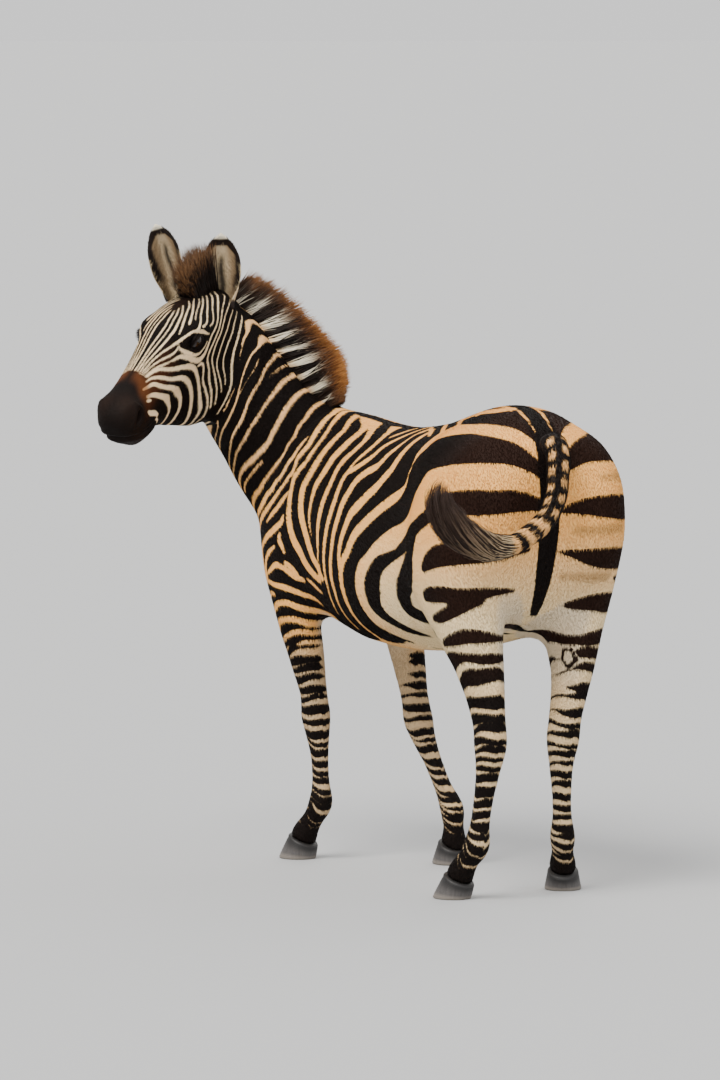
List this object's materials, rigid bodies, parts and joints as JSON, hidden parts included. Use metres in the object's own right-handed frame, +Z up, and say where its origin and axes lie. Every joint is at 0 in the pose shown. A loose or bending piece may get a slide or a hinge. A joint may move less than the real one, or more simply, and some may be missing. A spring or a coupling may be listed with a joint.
{
  "type": "zebra",
  "caption": "Life-size still model of a standing plains zebra with its head turned to its left and its tail swung aside.",
  "frame": {"origin": "centre of the model's outline seen from above, on the floor", "axes": "+X forward along the trunk, +Y to the animal's left, +Z up"},
  "size_m": [1.6432, 1.0527, 1.7251],
  "materials": {
    "coat": "short striped fur over a solid body",
    "hair": "coarse upright and hanging hair",
    "hoof": "horn, dull",
    "eye": "wet, glossy"
  },
  "bodies": {
    "root": {"head": "coat", "neck": "coat", "trunk": "coat", "foreleg_left": "coat", "foreleg_right": "coat", "hindleg_left": "coat", "hindleg_right": "coat", "ear_left": "coat", "ear_right": "coat", "hoof_fore_left": "hoof", "hoof_fore_right": "hoof", "hoof_hind_left": "hoof", "hoof_hind_right": "hoof", "eye_left": "eye", "eye_right": "eye", "mane": "hair", "forelock": "hair", "tail": "coat", "tail_tuft": "hair"}
  },
  "joints": []
}
